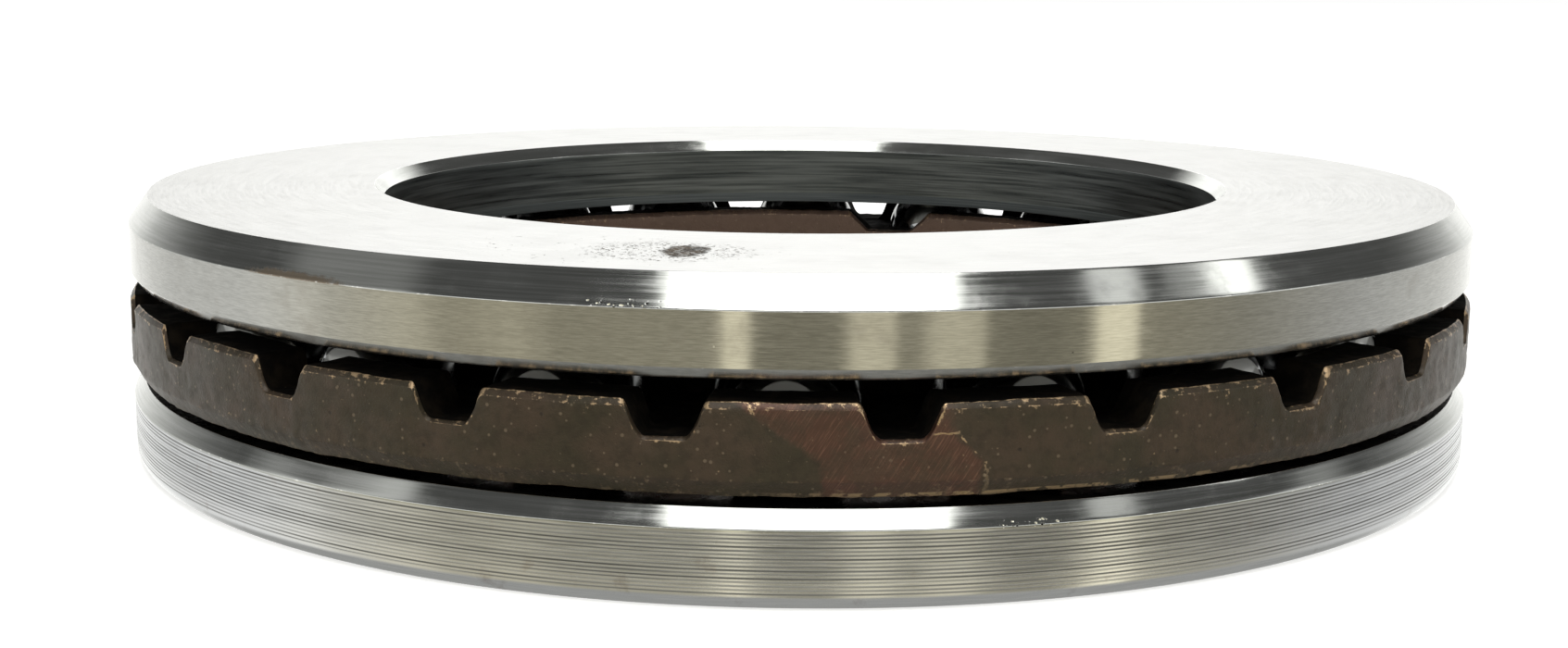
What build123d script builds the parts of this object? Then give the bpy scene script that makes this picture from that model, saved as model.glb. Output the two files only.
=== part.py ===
from build123d import *
import math
import os

# Single-direction thrust ball bearing, lying flat with its axis along +Z.
# The origin is the centre of the housing washer's seating face. Millimetres.

# ---- driving dimensions -------------------------------------------------
outside_diameter = 200.0       # housing washer and cage
shaft_washer_diameter = 199.5  # slightly smaller, so that it turns clear of the housing seat
shaft_bore_diameter = 127.0    # 5 inch shaft
housing_bore_diameter = 130.0  # clears the shaft
total_height = 37.5
washer_height = 11.5
ball_diameter = 19.05          # 3/4 inch
ball_count = 20
ball_circle_diameter = 168.0
race_conformity = 0.52         # groove radius over ball diameter
race_clearance = 0.15          # left between a ball and the bottom of each groove
first_ball_angle = -1.0        # degrees round from the front (-Y) towards +X

cage_height = 10.8
cage_bore_diameter = 141.0
cage_rise = 1.3                # from the housing washer's face up to the cage
cage_floor_drop = 4.25         # from the rims down to the trough between them
inner_rim_thickness = 4.9
outer_rim_thickness = 7.4
pocket_clearance = 0.25
outer_notch_count = 24
outer_notch_top_width = 9.0
outer_notch_bottom_width = 6.0
first_outer_notch_angle = 6.4
inner_notch_count = 3
inner_notch_top_width = 15.0
inner_notch_depth = 3.4
first_inner_notch_angle = 46.0
inner_notch_slope = 45.0       # degrees, sides of an inner notch

# ---- sizes worked out from them -----------------------------------------
outside_radius = outside_diameter / 2
shaft_washer_radius = shaft_washer_diameter / 2
shaft_bore_radius = shaft_bore_diameter / 2
housing_bore_radius = housing_bore_diameter / 2
ball_radius = ball_diameter / 2
ball_circle_radius = ball_circle_diameter / 2
shaft_washer_base = total_height - washer_height
ball_level = total_height / 2
race_radius = race_conformity * ball_diameter
race_centre_shift = race_radius - ball_radius - race_clearance

cage_bottom = washer_height + cage_rise
cage_top = cage_bottom + cage_height
cage_floor = cage_top - cage_floor_drop
cage_bore_radius = cage_bore_diameter / 2
pocket_radius = ball_radius + pocket_clearance


def ring(outline):
    """A closed outline of (radius, height) points, turned about the bearing axis."""
    with BuildPart() as turned:
        with BuildSketch(Plane.XZ):
            with BuildLine():
                Polyline(*outline, close=True)
            make_face()
        revolve(axis=Axis.Z)
    return turned.part


def groove(level):
    """The solid that a ball groove is cut with: a torus on the ball circle."""
    return Pos(0, 0, level) * Torus(ball_circle_radius, race_radius)


def spoke(angle):
    """Places a thing drawn along -Y at an angle round the axis, towards +X."""
    return Rot(0, 0, angle)


def seat_on_ball_circle(angle):
    """The centre of the ball that stands at this angle."""
    turn = math.radians(angle)
    return Pos(ball_circle_radius * math.sin(turn), -ball_circle_radius * math.cos(turn), ball_level)


# ---- shaft washer: a large polished chamfer on top, a small one below ----
shaft_chamfer_width = 2.7
shaft_chamfer_drop = 3.75
shaft_lower_chamfer_width = 0.9
shaft_lower_chamfer_drop = 1.3
shaft_bore_chamfer = 1.8


def make_shaft_washer():
    low, high = shaft_washer_base, total_height
    outline = [
        (shaft_bore_radius + shaft_bore_chamfer, low),
        (shaft_washer_radius - shaft_lower_chamfer_width, low),
        (shaft_washer_radius, low + shaft_lower_chamfer_drop),
        (shaft_washer_radius, high - shaft_chamfer_drop),
        (shaft_washer_radius - shaft_chamfer_width, high),
        (shaft_bore_radius + shaft_bore_chamfer, high),
        (shaft_bore_radius, high - shaft_bore_chamfer),
        (shaft_bore_radius, low + shaft_bore_chamfer),
    ]
    return ring(outline) - groove(ball_level - race_centre_shift)


# ---- housing washer: chamfered on the race side, rounded on the seat side ----
housing_chamfer_width = 1.5
housing_chamfer_drop = 2.2
housing_seat_radius = 1.8
housing_bore_chamfer = 1.5


def make_housing_washer():
    low, high = 0.0, washer_height
    with BuildPart() as turned:
        with BuildSketch(Plane.XZ):
            with BuildLine():
                Polyline(
                    (outside_radius - housing_seat_radius, low),
                    (housing_bore_radius + housing_bore_chamfer, low),
                    (housing_bore_radius, low + housing_bore_chamfer),
                    (housing_bore_radius, high - housing_bore_chamfer),
                    (housing_bore_radius + housing_bore_chamfer, high),
                    (outside_radius - housing_chamfer_width, high),
                    (outside_radius, high - housing_chamfer_drop),
                    (outside_radius, low + housing_seat_radius),
                )
                RadiusArc(
                    (outside_radius, low + housing_seat_radius),
                    (outside_radius - housing_seat_radius, low),
                    housing_seat_radius,
                )
            make_face()
        revolve(axis=Axis.Z)
    return turned.part - groove(ball_level + race_centre_shift)


# ---- cage: a cast trough with a plain inner rim and a toothed outer rim ----
cage_edge_width = 0.6
cage_edge_drop = 0.8
cage_bottom_edge_width = 1.2
cage_bottom_edge_drop = 2.0


def notch_cutter(top_width, bottom_width, depth, inner_radius, outer_radius):
    """A trapezoid that narrows downwards, run radially through a rim on the front (-Y) side."""
    over = 1.0
    slope = (top_width - bottom_width) / 2 / depth
    top_half = top_width / 2 + slope * over
    with BuildPart() as cutter:
        with BuildSketch(Plane.XZ.offset(inner_radius)):
            with BuildLine():
                Polyline(
                    (-bottom_width / 2, cage_top - depth),
                    (bottom_width / 2, cage_top - depth),
                    (top_half, cage_top + over),
                    (-top_half, cage_top + over),
                    close=True,
                )
            make_face()
        extrude(amount=outer_radius - inner_radius)
    return cutter.part


def make_cage():
    inner_rim_outside = cage_bore_radius + inner_rim_thickness
    outer_rim_inside = outside_radius - outer_rim_thickness
    body = ring([
        (cage_bore_radius + cage_bottom_edge_width, cage_bottom),
        (outside_radius - cage_bottom_edge_width, cage_bottom),
        (outside_radius, cage_bottom + cage_bottom_edge_drop),
        (outside_radius, cage_top - cage_edge_drop),
        (outside_radius - cage_edge_width, cage_top),
        (outer_rim_inside, cage_top),
        (outer_rim_inside, cage_floor),
        (inner_rim_outside, cage_floor),
        (inner_rim_outside, cage_top),
        (cage_bore_radius + cage_edge_width, cage_top),
        (cage_bore_radius, cage_top - cage_edge_drop),
        (cage_bore_radius, cage_bottom + cage_bottom_edge_drop),
    ])
    outer_notch = notch_cutter(outer_notch_top_width, outer_notch_bottom_width, cage_floor_drop,
                               outer_rim_inside - 1.0, outside_radius + 1.0)
    inner_bottom_width = inner_notch_top_width - 2 * inner_notch_depth / math.tan(math.radians(inner_notch_slope))
    inner_notch = notch_cutter(inner_notch_top_width, inner_bottom_width, inner_notch_depth,
                               cage_bore_radius - 1.0, inner_rim_outside + 1.0)
    cutters = []
    for index in range(outer_notch_count):
        cutters.append(spoke(first_outer_notch_angle + index * 360 / outer_notch_count) * outer_notch)
    for index in range(inner_notch_count):
        cutters.append(spoke(first_inner_notch_angle + index * 360 / inner_notch_count) * inner_notch)
    for index in range(ball_count):
        cutters.append(seat_on_ball_circle(first_ball_angle + index * 360 / ball_count) * Sphere(pocket_radius))
    for cutter in cutters:
        body = body - cutter
    return body


# ---- write each piece -----------------------------------------------------
def main():
    os.makedirs("parts", exist_ok=True)
    pieces = {
        "shaft_washer": make_shaft_washer(),
        "housing_washer": make_housing_washer(),
        "cage": make_cage(),
    }
    for index in range(ball_count):
        seat = seat_on_ball_circle(first_ball_angle + index * 360 / ball_count)
        pieces[f"ball_{index + 1:02d}"] = seat * Sphere(ball_radius)
    for name, piece in pieces.items():
        export_step(piece, f"parts/{name}.step")
        size = piece.bounding_box().size
        print(f"{name}: {piece.volume:.0f} mm3, {size.X:.2f} x {size.Y:.2f} x {size.Z:.2f} mm")


main()
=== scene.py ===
# %% [markdown]
# # A thrust ball bearing, from the CAD frame to the finished look
# A thrust ball bearing carries a load along a shaft. Two steel washers hold a ring of balls
# between them, and a bronze cage keeps the balls apart. The CAD model gives every piece its
# size and its joint. This lesson gives each piece its fine shape and its finish.

# %% Load the frame
import bpy
import math
import numpy as np
from mathutils import Matrix, Vector


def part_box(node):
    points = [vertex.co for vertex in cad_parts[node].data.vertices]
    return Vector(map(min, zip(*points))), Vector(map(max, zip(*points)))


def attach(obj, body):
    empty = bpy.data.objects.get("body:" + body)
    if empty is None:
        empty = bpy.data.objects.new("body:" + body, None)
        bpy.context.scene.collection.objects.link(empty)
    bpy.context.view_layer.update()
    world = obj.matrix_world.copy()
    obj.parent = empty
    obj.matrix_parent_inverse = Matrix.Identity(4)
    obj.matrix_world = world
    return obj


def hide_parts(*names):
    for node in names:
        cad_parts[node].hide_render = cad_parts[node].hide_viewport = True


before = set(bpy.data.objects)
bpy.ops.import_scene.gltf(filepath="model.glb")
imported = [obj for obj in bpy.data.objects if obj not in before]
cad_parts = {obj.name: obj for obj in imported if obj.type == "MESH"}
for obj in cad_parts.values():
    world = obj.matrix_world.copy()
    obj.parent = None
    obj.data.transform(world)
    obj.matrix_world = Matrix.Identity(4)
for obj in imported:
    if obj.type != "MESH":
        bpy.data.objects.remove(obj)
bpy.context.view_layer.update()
scene = bpy.context.scene
MM = 0.001
print("CAD nodes:", len(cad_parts))

# %% [markdown]
# ## The camera
# The camera looks almost level at the rim, as a buyer would hold a bearing up to the eye.
# This shows the gap with the cage, and the top face shrinks to a thin bright ellipse. The
# lens is a little longer than normal, so that the near rim isn't swollen.

# %% Place the camera
LENS = 46.59
CAMERA_PLACE = Vector((-0.00078, -0.31489, 0.07143))
LOOK_DOWN = math.radians(10.287)
LOOK_RIGHT = math.radians(-0.275)
TILT = math.radians(0.418)

camera_data = bpy.data.cameras.new("camera")
camera_data.lens = LENS
camera_data.sensor_width = 36.0
camera = bpy.data.objects.new("camera", camera_data)
scene.collection.objects.link(camera)
turn = Matrix.Rotation(-LOOK_RIGHT, 4, "Z")
nod = Matrix.Rotation(math.pi / 2 - LOOK_DOWN, 4, "X")
roll = Matrix.Rotation(TILT, 4, "Z")
camera.matrix_world = Matrix.Translation(CAMERA_PLACE) @ turn @ nod @ roll
scene.camera = camera
print("camera height above the seat, mm:", round(CAMERA_PLACE.z / MM, 1))

# %% [markdown]
# ## Tools for turned pieces
# Every ring here comes off a lathe, so every ring is made the same way: an outline is drawn
# by extruding one vertex from corner to corner, and the outline is spun about the axis. Real
# edges are never razor sharp. Each corner gets a small round, and each flat starts with a
# support point close to the round, so that smooth shading stays flat on the flats.

# %% Helpers: select a piece, round an outline, draw it and spin it
def only(piece):
    """Selects this piece alone and makes it active."""
    bpy.ops.object.select_all(action="DESELECT")
    piece.select_set(True)
    bpy.context.view_layer.objects.active = piece


def soft_outline(corners, support=0.35, steps=4):
    """Rounds each (radius, height, round) corner of a closed outline, in millimetres."""
    points = []
    for index, (r, z, size) in enumerate(corners):
        here = Vector((r, z))
        before = Vector(corners[index - 1][:2])
        after = Vector(corners[(index + 1) % len(corners)][:2])
        if size == 0:
            points.append(here)
            continue
        back = (before - here).normalized()
        on = (after - here).normalized()
        half = back.angle(on) / 2
        reach = size / math.tan(half)
        centre = here + (back + on).normalized() * size / math.sin(half)
        start, end = here + back * reach, here + on * reach
        if (before - start).length > 2.5 * support:
            points.append(start + back * support)
        swing = (end - centre).angle_signed(start - centre)
        for step in range(steps + 1):
            ray = start - centre
            ray.rotate(Matrix.Rotation(swing * step / steps, 2))
            points.append(centre + ray)
        if (after - end).length > 2.5 * support:
            points.append(end + on * support)
    return points


def draw_section(name, points):
    """Extrudes a vertex along (radius, height) points in millimetres and closes the loop."""
    bpy.ops.object.select_all(action="DESELECT")
    bpy.ops.mesh.primitive_plane_add(size=MM)
    piece = bpy.context.object
    piece.name = name
    piece.data.name = name
    bpy.ops.object.mode_set(mode="EDIT")
    bpy.ops.mesh.select_mode(type="VERT")
    bpy.ops.mesh.select_all(action="SELECT")
    bpy.ops.mesh.merge(type="CENTER")
    here = Vector((0.0, 0.0))
    for index, point in enumerate(points):
        step = ((point[0] - here[0]) * MM, 0.0, (point[1] - here[1]) * MM)
        if index == 0:
            bpy.ops.transform.translate(value=step)
        else:
            bpy.ops.mesh.extrude_region_move(TRANSFORM_OT_translate={"value": step})
        here = point
    bpy.ops.object.mode_set(mode="OBJECT")
    ends = (0, len(piece.data.vertices) - 1)
    for vertex in piece.data.vertices:
        vertex.select = vertex.index in ends
    bpy.ops.object.mode_set(mode="EDIT")
    bpy.ops.mesh.edge_face_add()
    bpy.ops.mesh.select_all(action="SELECT")
    return piece


def close_ring(piece):
    """Merges the seam of a full spin and turns every face outwards."""
    bpy.ops.mesh.select_all(action="SELECT")
    bpy.ops.mesh.remove_doubles(threshold=0.002 * MM)
    bpy.ops.mesh.normals_make_consistent(inside=False)
    bpy.ops.object.mode_set(mode="OBJECT")
    bpy.ops.object.shade_smooth()
    print(piece.name, "faces:", len(piece.data.polygons))


def turned_ring(name, points, wedges=24, steps=30):
    """A ring turned on the lathe: one wedge is spun from the outline, and copied round."""
    piece = draw_section(name, points)
    centre = {"center": (0, 0, 0), "axis": (0, 0, 1)}
    bpy.ops.mesh.spin(steps=steps, angle=2 * math.pi / wedges, **centre)
    bpy.ops.mesh.select_all(action="SELECT")
    bpy.ops.mesh.spin(steps=wedges, angle=2 * math.pi, dupli=True, **centre)
    close_ring(piece)
    return piece


# %% [markdown]
# ## The shaft washer
# The upper ring is ground flat on top, ground round outside, and has a broad chamfer that
# was polished until it mirrors the room. A ball groove runs round its hidden face.

# %% Sizes that the washers share
shaft_low, shaft_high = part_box("shaft_washer")
housing_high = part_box("housing_washer")[1]
ball_low, ball_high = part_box("ball_01")
BALL_RADIUS = 9.525
BALL_CIRCLE = 84.0
BALL_LEVEL = (ball_low.z + ball_high.z) / 2 / MM
GROOVE_RADIUS = 0.52 * 2 * BALL_RADIUS
GROOVE_SHIFT = GROOVE_RADIUS - BALL_RADIUS - 0.15
print("ball level, mm:", round(BALL_LEVEL, 3))


def groove_arc(face, side, steps=22):
    """Outline points of the ball groove in a race face, from the outer lip to the inner lip."""
    centre = BALL_LEVEL - side * GROOVE_SHIFT
    drop = (face - centre) * side
    half = math.acos(drop / GROOVE_RADIUS)
    arc = []
    for step in range(steps + 1):
        angle = half * (1 - 2 * step / steps)
        r = BALL_CIRCLE + GROOVE_RADIUS * math.sin(angle)
        arc.append((r, centre + side * GROOVE_RADIUS * math.cos(angle), 0))
    return arc


# %% Turn the shaft washer
SHAFT_RIM = shaft_high.x / MM
SHAFT_TOP = shaft_high.z / MM
SHAFT_BASE = shaft_low.z / MM
SHAFT_BORE = 63.5
BORE_CHAMFER_WIDTH = 1.4
BORE_CHAMFER_DROP = 1.8
TOP_CHAMFER_WIDTH = 2.7
TOP_CHAMFER_DROP = 3.75
LOW_CHAMFER_WIDTH = 0.9
LOW_CHAMFER_DROP = 1.3
shaft_corners = [
    (SHAFT_BORE, SHAFT_BASE + BORE_CHAMFER_DROP, 0.15),
    (SHAFT_BORE, SHAFT_TOP - BORE_CHAMFER_DROP, 0.15),
    (SHAFT_BORE + BORE_CHAMFER_WIDTH, SHAFT_TOP, 0.12),
    (SHAFT_RIM - TOP_CHAMFER_WIDTH, SHAFT_TOP, 0.10),
    (SHAFT_RIM, SHAFT_TOP - TOP_CHAMFER_DROP, 0.4),
    (SHAFT_RIM, SHAFT_BASE + LOW_CHAMFER_DROP, 0.14),
    (SHAFT_RIM - LOW_CHAMFER_WIDTH, SHAFT_BASE, 0.12),
]
shaft_corners += groove_arc(SHAFT_BASE, 1)
shaft_corners += [(SHAFT_BORE + BORE_CHAMFER_WIDTH, SHAFT_BASE, 0.15)]
shaft_washer = turned_ring("shaft_washer_turned", soft_outline(shaft_corners))
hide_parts("shaft_washer")
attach(shaft_washer, "shaft_washer")

# %% [markdown]
# ## The housing washer
# The lower ring sits in the housing and is 0.5 mm wider. Only its seat and its race are
# ground. The rim keeps the furrows of the turning tool, so they are drawn into the outline.

# %% Turn the housing washer
HOUSING_RIM = housing_high.x / MM
HOUSING_TOP = housing_high.z / MM
HOUSING_BORE = 65.0
HOUSING_CHAMFER_WIDTH = 1.5
HOUSING_CHAMFER_DROP = 2.2
HOUSING_BORE_CHAMFER = 1.5
SEAT_ROUND = 1.8
FIRST_FURROW = 2.0
TURNING_FEED = 0.45
TURNING_DEPTH = 0.03


def turned_marks(low, high):
    """The rim between two heights, with the shallow furrows that a turning tool leaves."""
    marks = []
    count = round((high - low) / TURNING_FEED)
    for mark in range(count):
        base = low + mark * TURNING_FEED
        for share, depth in ((0.0, 1.0), (0.2, 0.25), (0.5, 0.0), (0.8, 0.25)):
            marks.append((HOUSING_RIM - TURNING_DEPTH * depth, base + share * TURNING_FEED, 0))
    return marks


housing_corners = [
    (HOUSING_RIM - SEAT_ROUND, 0.0, 0),
    (HOUSING_RIM - SEAT_ROUND * 0.62, SEAT_ROUND * 0.075, 0),
    (HOUSING_RIM - SEAT_ROUND * 0.29, SEAT_ROUND * 0.29, 0),
    (HOUSING_RIM - SEAT_ROUND * 0.075, SEAT_ROUND * 0.62, 0),
    (HOUSING_RIM, SEAT_ROUND, 0),
]
housing_corners += turned_marks(FIRST_FURROW, HOUSING_TOP - HOUSING_CHAMFER_DROP - 0.1)
housing_corners += [
    (HOUSING_RIM, HOUSING_TOP - HOUSING_CHAMFER_DROP, 0.35),
    (HOUSING_RIM - HOUSING_CHAMFER_WIDTH, HOUSING_TOP, 0.14),
]
housing_corners += groove_arc(HOUSING_TOP, -1)
housing_corners += [
    (HOUSING_BORE + HOUSING_BORE_CHAMFER, HOUSING_TOP, 0.15),
    (HOUSING_BORE, HOUSING_TOP - HOUSING_BORE_CHAMFER, 0.15),
    (HOUSING_BORE, HOUSING_BORE_CHAMFER, 0.15),
    (HOUSING_BORE + HOUSING_BORE_CHAMFER, 0.0, 0.15),
]
housing_washer = turned_ring("housing_washer_turned", soft_outline(housing_corners))
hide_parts("housing_washer")
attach(housing_washer, "housing_washer")

# %% [markdown]
# ## The cage
# The cage is a bronze casting: a trough between a plain inner rim and a toothed outer rim,
# with a round pocket for each ball. Its notches repeat every fifteen degrees. So one pitch
# is spun in short steps, its rim is pushed down where the notch is, and copies of that one
# pitch make the ring.

# %% Sizes of the cage
cage_low, cage_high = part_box("cage")
CAGE_RIM = cage_high.x / MM
CAGE_BASE = cage_low.z / MM
CAGE_TOP = cage_high.z / MM
CAGE_BORE = 70.5
TROUGH_FLOOR = CAGE_TOP - 4.25
TROUGH_INSIDE = CAGE_BORE + 4.9
TROUGH_OUTSIDE = CAGE_RIM - 7.4
NOTCHES = 24
NOTCH_PITCH = 360 / NOTCHES
NOTCH_FLOOR = TROUGH_FLOOR + 0.15
NOTCH_TOP_HALF = math.degrees(4.5 / CAGE_RIM)
NOTCH_BOTTOM_HALF = math.degrees(3.0 / CAGE_RIM)
NOTCH_CORNER = math.degrees(0.9 / CAGE_RIM)
FIRST_NOTCH = 6.4
SCALING_LEVEL = CAGE_BASE + 2.6


def spread(start, end, count):
    """Evenly spaced values from start to just before end."""
    return [start + (end - start) * step / count for step in range(count)]


def rim_height(angle):
    """The height of the outer rim at this many degrees from the middle of a notch."""
    def soft_step(x, corner):
        if x <= -corner:
            return 0.0
        if x >= corner:
            return x
        return (x + corner) ** 2 / (4 * corner)

    width = NOTCH_TOP_HALF - NOTCH_BOTTOM_HALF
    slope = (CAGE_TOP - NOTCH_FLOOR) / width
    away = abs(angle) - NOTCH_BOTTOM_HALF
    rise = soft_step(away, NOTCH_CORNER) - soft_step(away - width, NOTCH_CORNER * 0.45)
    return NOTCH_FLOOR + slope * rise


# %% The section of the cage
cage_outline = [
    (CAGE_BORE + 1.2, CAGE_BASE, 0.4),
    *[(r, CAGE_BASE, 0) for r in spread(CAGE_BORE + 6.0, CAGE_RIM - 2.5, 3)],
    (CAGE_RIM - 1.2, CAGE_BASE, 0.3), (CAGE_RIM, CAGE_BASE + 2.0, 0.6),
    *[(CAGE_RIM, z, 0) for z in spread(CAGE_BASE + 2.6, CAGE_TOP - 1.2, 13)],
    (CAGE_RIM, CAGE_TOP - 0.7, 0.35), (CAGE_RIM - 0.5, CAGE_TOP, 0.25),
    *[(r, CAGE_TOP, 0) for r in spread(CAGE_RIM - 1.2, TROUGH_OUTSIDE + 0.6, 5)],
    (TROUGH_OUTSIDE, CAGE_TOP, 0.3),
    *[(TROUGH_OUTSIDE, z, 0) for z in spread(CAGE_TOP - 0.8, TROUGH_FLOOR + 0.4, 4)],
    (TROUGH_OUTSIDE, TROUGH_FLOOR, 0),
    *[(r, TROUGH_FLOOR, 0) for r in spread(TROUGH_OUTSIDE - 2.4, TROUGH_INSIDE, 5)],
    (TROUGH_INSIDE, TROUGH_FLOOR, 0),
    *[(TROUGH_INSIDE, z, 0) for z in spread(TROUGH_FLOOR + 0.8, CAGE_TOP - 0.6, 4)],
    (TROUGH_INSIDE, CAGE_TOP, 0.3), (CAGE_BORE + 0.6, CAGE_TOP, 0.3),
    (CAGE_BORE, CAGE_TOP - 0.8, 0.4),
    *[(CAGE_BORE, z, 0) for z in spread(CAGE_TOP - 2.2, CAGE_BASE + 2.4, 4)],
    (CAGE_BORE, CAGE_BASE + 2.0, 0.4),
]
cage_points = soft_outline(cage_outline, support=2.0, steps=2)
print("points round the cage section:", len(cage_points))


# %% Spin one pitch, in steps that are close together at the notch
def place_of(vertex):
    """Angle from the front in degrees, radius and height in millimetres."""
    x, y, z = vertex.co
    return math.degrees(math.atan2(x, -y)), math.hypot(x, y) / MM, z / MM


cage = draw_section("cage_cast", cage_points)
bpy.ops.object.mode_set(mode="OBJECT")
START_ANGLE = NOTCH_PITCH / 2
cage.data.transform(Matrix.Rotation(math.radians(START_ANGLE - 90), 4, "Z"))
bpy.ops.object.mode_set(mode="EDIT")
for width, steps in ((4.5, 9), (2.2, 13), (1.6, 5), (2.2, 13), (4.5, 9)):
    bpy.ops.mesh.spin(steps=steps, angle=math.radians(width), center=(0, 0, 0), axis=(0, 0, 1))
bpy.ops.object.mode_set(mode="OBJECT")
print("angles of the pitch:", sorted({round(place_of(v)[0], 2) for v in cage.data.vertices})[::12])

# %% Push the rim down where the notch is
for vertex in cage.data.vertices:
    angle, r, z = place_of(vertex)
    share = (rim_height(angle) - TROUGH_FLOOR) / (CAGE_TOP - TROUGH_FLOOR)
    if r > TROUGH_OUTSIDE - 0.1 and z > TROUGH_FLOOR + 0.01 and r < CAGE_RIM - 2.5:
        vertex.co.z = (TROUGH_FLOOR + (z - TROUGH_FLOOR) * share) * MM
    elif r >= CAGE_RIM - 2.5 and z > SCALING_LEVEL:
        squeeze = (rim_height(angle) - SCALING_LEVEL) / (CAGE_TOP - SCALING_LEVEL)
        vertex.co.z = (SCALING_LEVEL + (z - SCALING_LEVEL) * squeeze) * MM

# %% Copy the pitch round the ring and close it
bpy.ops.object.mode_set(mode="EDIT")
bpy.ops.mesh.select_all(action="SELECT")
bpy.ops.mesh.spin(steps=NOTCHES, angle=2 * math.pi, dupli=True, center=(0, 0, 0), axis=(0, 0, 1))
close_ring(cage)
cage.data.transform(Matrix.Rotation(math.radians(FIRST_NOTCH), 4, "Z"))

# %% [markdown]
# The inner rim is plain but for three wide notches, one every third of a turn. The bore wall
# has rows below the trough floor, and they share in the squeeze. Then each ball's pocket is
# drilled with a sphere 0.25 mm larger than the ball.

# %% Press three wide notches into the inner rim
INNER_NOTCH_TOP_HALF = 7.5
INNER_NOTCH_DEPTH = 3.4
FIRST_INNER_NOTCH = 46.0
THIRD = 360 / 3
BORE_WALL_REACH = 3.0
for vertex in cage.data.vertices:
    angle, r, z = place_of(vertex)
    off = (angle - FIRST_INNER_NOTCH + THIRD / 2) % THIRD - THIRD / 2
    across = abs(math.radians(off)) * CAGE_BORE
    drop = max(0.0, min(INNER_NOTCH_DEPTH, INNER_NOTCH_TOP_HALF - across))
    level = TROUGH_FLOOR - (BORE_WALL_REACH if r < CAGE_BORE + 1.2 else 0.0)
    if r <= TROUGH_INSIDE + 0.1 and z > level:
        vertex.co.z = (level + (z - level) * (1 - drop / (CAGE_TOP - level))) * MM

# %% Drill the pockets
POCKET_RADIUS = BALL_RADIUS + 0.25
bpy.ops.object.select_all(action="DESELECT")
balls = sorted(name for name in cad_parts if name.startswith("ball_"))
ball_centres = [(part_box(name)[0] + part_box(name)[1]) / 2 for name in balls]
drills = []
for centre in ball_centres:
    bpy.ops.mesh.primitive_uv_sphere_add(segments=48, ring_count=24, radius=POCKET_RADIUS * MM,
                                         location=centre)
    drills.append(bpy.context.object)
for drill in drills:
    drill.select_set(True)
bpy.context.view_layer.objects.active = drills[0]
bpy.ops.object.join()
drill = bpy.context.object
pockets = cage.modifiers.new("pockets", "BOOLEAN")
pockets.operation = "DIFFERENCE"
pockets.solver = "MANIFOLD"
pockets.object = drill
only(cage)
bpy.ops.object.modifier_apply(modifier=pockets.name)
bpy.data.objects.remove(drill)
print("cage faces:", len(cage.data.polygons))

# %% [markdown]
# A sand casting is a little lumpy, so the skin is moved in and out by two cloud patterns.
# The drilled pockets stay true.

# %% Rough casting skin, everywhere but in the drilled pockets
skin_group = cage.vertex_groups.new(name="cast_skin")
clear = (POCKET_RADIUS + 0.05) * MM
for vertex in cage.data.vertices:
    gap = min((vertex.co - centre).length for centre in ball_centres) - clear
    skin_group.add([vertex.index], max(0.0, min(1.0, gap / (0.8 * MM))), "REPLACE")


def displace(piece, size, strength):
    """Moves the surface in and out by a cloud pattern, and applies it."""
    pattern = bpy.data.textures.new("cast_lumps", "CLOUDS")
    pattern.noise_scale = size * MM
    skin = piece.modifiers.new("cast_skin", "DISPLACE")
    skin.texture = pattern
    skin.texture_coords = "LOCAL"
    skin.vertex_group = "cast_skin"
    skin.strength = strength * MM
    only(piece)
    bpy.ops.object.modifier_apply(modifier=skin.name)


displace(cage, size=9.0, strength=0.5)
displace(cage, size=1.6, strength=0.2)
bpy.ops.object.shade_smooth_by_angle(angle=math.radians(50))
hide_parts("cage")
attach(cage, "cage")

# %% [markdown]
# ## Which corners have been rubbed
# Wear starts where a piece sticks out: the edges of the cage shine like new bronze. So each
# vertex gets a number for how far it stands out from its neighbours, for a material to read.

# %% Store how far each vertex stands out
def mark_edges(piece, full):
    """Writes the attribute edge: 0 on a flat or in a hollow, 1 on a corner that sticks out."""
    mesh = piece.data
    count = len(mesh.vertices)
    place = np.empty((count, 3))
    mesh.vertices.foreach_get("co", place.ravel())
    outward = np.empty((count, 3), dtype=np.float32)
    mesh.vertex_normals.foreach_get("vector", outward.ravel())
    ends = np.empty(len(mesh.edges) * 2, dtype=np.int32)
    mesh.edges.foreach_get("vertices", ends)
    first, second = ends.reshape(-1, 2).T
    step = place[second] - place[first]
    step /= np.maximum(np.linalg.norm(step, axis=1, keepdims=True), 1e-9)
    rise = np.bincount(first, -(outward[first] * step).sum(1), count)
    rise += np.bincount(second, (outward[second] * step).sum(1), count)
    near = np.bincount(first, minlength=count) + np.bincount(second, minlength=count)
    value = np.clip(rise / np.maximum(near, 1) / full, 0, 1).astype(np.float32)
    mesh.attributes.new("edge", "FLOAT", "POINT").data.foreach_set("value", value)
    print(piece.name, "vertices on a corner:", int((value > 0.5).sum()))


mark_edges(shaft_washer, full=0.10)
mark_edges(housing_washer, full=0.10)
mark_edges(cage, full=0.15)

# %% [markdown]
# ## Helpers for shader nodes
# A finish is a small sum: a base colour, minus dirt, plus wear. Each helper adds a node for
# one step of the sum and gives back its output socket.

# %% Node helpers
def node(tree, kind, **settings):
    """Adds a node and sets its properties."""
    made = tree.nodes.new(kind)
    for key, value in settings.items():
        setattr(made, key, value)
    return made


def feed(tree, target, source):
    """Sets a socket to a number or colour, or links another socket to it."""
    if isinstance(source, bpy.types.NodeSocket):
        tree.links.new(source, target)
    else:
        target.default_value = source


def calc(tree, operation, a, b=0.0, c=0.0):
    """A Math node; a, b and c are numbers or sockets."""
    made = node(tree, "ShaderNodeMath", operation=operation)
    for socket, value in zip(made.inputs, (a, b, c)):
        feed(tree, socket, value)
    return made.outputs[0]


def plus(tree, a, b):
    return calc(tree, "ADD", a, b)


def minus(tree, a, b):
    return calc(tree, "SUBTRACT", a, b)


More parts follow.
